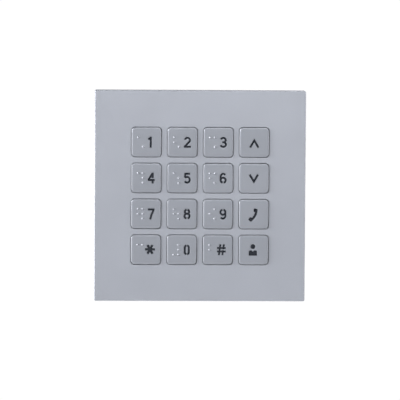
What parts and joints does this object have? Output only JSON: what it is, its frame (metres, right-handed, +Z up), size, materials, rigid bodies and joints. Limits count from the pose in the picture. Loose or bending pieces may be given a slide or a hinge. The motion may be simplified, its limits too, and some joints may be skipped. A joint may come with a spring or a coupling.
{
  "type": "keypad module",
  "caption": "Flush square metal keypad module for a door-entry or access-control station, with sprung stencil-cut keys over a dome mat, a keypad board and a rear housing.",
  "frame": {"origin": "centre of the four frame screws, on the plane where the back of the panel's rim seats on its frame", "axes": "+X to the right and +Z up as seen from the front; -Y out of the front face, +Y along the frame screws into the wall box"},
  "size_m": [0.113, 0.033, 0.113],
  "materials": {
    "satin_panel": "fine satin anodised",
    "satin_key": "fine satin anodised, slightly darker than the panel",
    "smoked_guide": "smoked polycarbonate light guide, dark when unlit",
    "silicone": "translucent grey silicone",
    "circuit_board": "green solder mask",
    "led": "clear yellowish resin",
    "passives": "ceramic with tinned ends",
    "chip_resin": "black moulded resin",
    "ferrite": "pressed ferrite",
    "capacitor_can": "drawn can",
    "plated_steel": "zinc plated",
    "socket_plastic": "natural nylon",
    "tinned_brass": "tinned",
    "seal_rubber": "black foam rubber",
    "housing_plastic": "fine spark-eroded texture",
    "label_film": "silver film, blank"
  },
  "bodies": {
    "module": {"front_panel": "satin_panel", "silicone_mat": "silicone", "keypad_board": "circuit_board", "backlight_leds": "led", "board_passives": "passives", "controller_chip": "chip_resin", "bus_driver_chip": "chip_resin", "power_inductor": "ferrite", "storage_capacitor": "capacitor_can", "clock_crystal": "plated_steel", "bus_in_socket": "socket_plastic", "bus_out_socket": "socket_plastic", "bus_pins": "tinned_brass", "board_screws": "plated_steel", "panel_seal": "seal_rubber", "rear_housing": "housing_plastic", "housing_screws": "plated_steel", "rating_label": "label_film"},
    "key_1": {"key_1_cap": "satin_key", "key_1_light_guide": "smoked_guide"},
    "key_2": {"key_2_cap": "satin_key", "key_2_light_guide": "smoked_guide"},
    "key_3": {"key_3_cap": "satin_key", "key_3_light_guide": "smoked_guide"},
    "key_up": {"key_up_cap": "satin_key", "key_up_light_guide": "smoked_guide"},
    "key_4": {"key_4_cap": "satin_key", "key_4_light_guide": "smoked_guide"},
    "key_5": {"key_5_cap": "satin_key", "key_5_light_guide": "smoked_guide"},
    "key_6": {"key_6_cap": "satin_key", "key_6_light_guide": "smoked_guide"},
    "key_down": {"key_down_cap": "satin_key", "key_down_light_guide": "smoked_guide"},
    "key_7": {"key_7_cap": "satin_key", "key_7_light_guide": "smoked_guide"},
    "key_8": {"key_8_cap": "satin_key", "key_8_light_guide": "smoked_guide"},
    "key_9": {"key_9_cap": "satin_key", "key_9_light_guide": "smoked_guide"},
    "key_call": {"key_call_cap": "satin_key", "key_call_light_guide": "smoked_guide"},
    "key_star": {"key_star_cap": "satin_key", "key_star_light_guide": "smoked_guide"},
    "key_0": {"key_0_cap": "satin_key", "key_0_light_guide": "smoked_guide"},
    "key_hash": {"key_hash_cap": "satin_key", "key_hash_light_guide": "smoked_guide"},
    "key_attendant": {"key_attendant_cap": "satin_key", "key_attendant_light_guide": "smoked_guide"}
  },
  "joints": [
    {"name": "key_1_press", "type": "slide", "parent": "module", "child": "key_1", "axis": [0, 1, 0], "range_m": [0, 0.001], "stiffness_N_per_m": 900, "springref_m": -0.0005, "deforming": ["silicone_mat"]},
    {"name": "key_2_press", "type": "slide", "parent": "module", "child": "key_2", "axis": [0, 1, 0], "range_m": [0, 0.001], "stiffness_N_per_m": 900, "springref_m": -0.0005, "deforming": ["silicone_mat"]},
    {"name": "key_3_press", "type": "slide", "parent": "module", "child": "key_3", "axis": [0, 1, 0], "range_m": [0, 0.001], "stiffness_N_per_m": 900, "springref_m": -0.0005, "deforming": ["silicone_mat"]},
    {"name": "key_up_press", "type": "slide", "parent": "module", "child": "key_up", "axis": [0, 1, 0], "range_m": [0, 0.001], "stiffness_N_per_m": 900, "springref_m": -0.0005, "deforming": ["silicone_mat"]},
    {"name": "key_4_press", "type": "slide", "parent": "module", "child": "key_4", "axis": [0, 1, 0], "range_m": [0, 0.001], "stiffness_N_per_m": 900, "springref_m": -0.0005, "deforming": ["silicone_mat"]},
    {"name": "key_5_press", "type": "slide", "parent": "module", "child": "key_5", "axis": [0, 1, 0], "range_m": [0, 0.001], "stiffness_N_per_m": 900, "springref_m": -0.0005, "deforming": ["silicone_mat"]},
    {"name": "key_6_press", "type": "slide", "parent": "module", "child": "key_6", "axis": [0, 1, 0], "range_m": [0, 0.001], "stiffness_N_per_m": 900, "springref_m": -0.0005, "deforming": ["silicone_mat"]},
    {"name": "key_down_press", "type": "slide", "parent": "module", "child": "key_down", "axis": [0, 1, 0], "range_m": [0, 0.001], "stiffness_N_per_m": 900, "springref_m": -0.0005, "deforming": ["silicone_mat"]},
    {"name": "key_7_press", "type": "slide", "parent": "module", "child": "key_7", "axis": [0, 1, 0], "range_m": [0, 0.001], "stiffness_N_per_m": 900, "springref_m": -0.0005, "deforming": ["silicone_mat"]},
    {"name": "key_8_press", "type": "slide", "parent": "module", "child": "key_8", "axis": [0, 1, 0], "range_m": [0, 0.001], "stiffness_N_per_m": 900, "springref_m": -0.0005, "deforming": ["silicone_mat"]},
    {"name": "key_9_press", "type": "slide", "parent": "module", "child": "key_9", "axis": [0, 1, 0], "range_m": [0, 0.001], "stiffness_N_per_m": 900, "springref_m": -0.0005, "deforming": ["silicone_mat"]},
    {"name": "key_call_press", "type": "slide", "parent": "module", "child": "key_call", "axis": [0, 1, 0], "range_m": [0, 0.001], "stiffness_N_per_m": 900, "springref_m": -0.0005, "deforming": ["silicone_mat"]},
    {"name": "key_star_press", "type": "slide", "parent": "module", "child": "key_star", "axis": [0, 1, 0], "range_m": [0, 0.001], "stiffness_N_per_m": 900, "springref_m": -0.0005, "deforming": ["silicone_mat"]},
    {"name": "key_0_press", "type": "slide", "parent": "module", "child": "key_0", "axis": [0, 1, 0], "range_m": [0, 0.001], "stiffness_N_per_m": 900, "springref_m": -0.0005, "deforming": ["silicone_mat"]},
    {"name": "key_hash_press", "type": "slide", "parent": "module", "child": "key_hash", "axis": [0, 1, 0], "range_m": [0, 0.001], "stiffness_N_per_m": 900, "springref_m": -0.0005, "deforming": ["silicone_mat"]},
    {"name": "key_attendant_press", "type": "slide", "parent": "module", "child": "key_attendant", "axis": [0, 1, 0], "range_m": [0, 0.001], "stiffness_N_per_m": 900, "springref_m": -0.0005, "deforming": ["silicone_mat"]}
  ]
}
